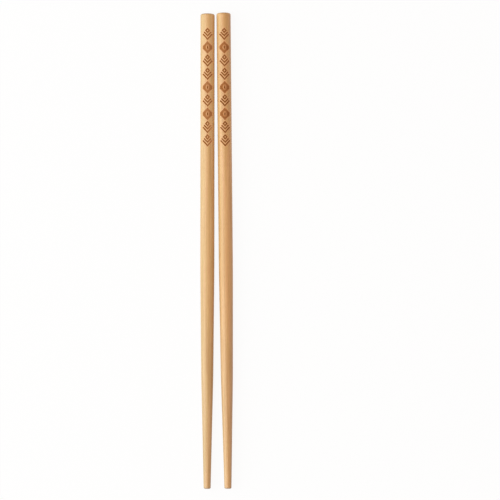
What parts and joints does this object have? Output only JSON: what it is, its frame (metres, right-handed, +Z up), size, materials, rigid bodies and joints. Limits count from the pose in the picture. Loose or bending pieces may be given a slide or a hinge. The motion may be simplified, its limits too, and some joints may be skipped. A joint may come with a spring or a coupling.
{
  "type": "pair of bamboo chopsticks",
  "caption": "Pair of round bamboo chopsticks with burnt chevron and diamond ornaments on straight grips, tapering to blunt tips for picking up food.",
  "frame": {"origin": "on the surface the pair lies on, below the middle of its bounding box", "axes": "+Y along the pair from the tips to the butts, +X towards the right-hand stick, +Z up, out of the ornamented side"},
  "size_m": [0.0164, 0.2402, 0.0071],
  "materials": {
    "bamboo": "sanded pale bamboo with fine lengthwise fibres, satin, with brown burnt ornaments"
  },
  "bodies": {
    "root": {"left_stick": "bamboo", "right_stick": "bamboo"}
  },
  "joints": []
}
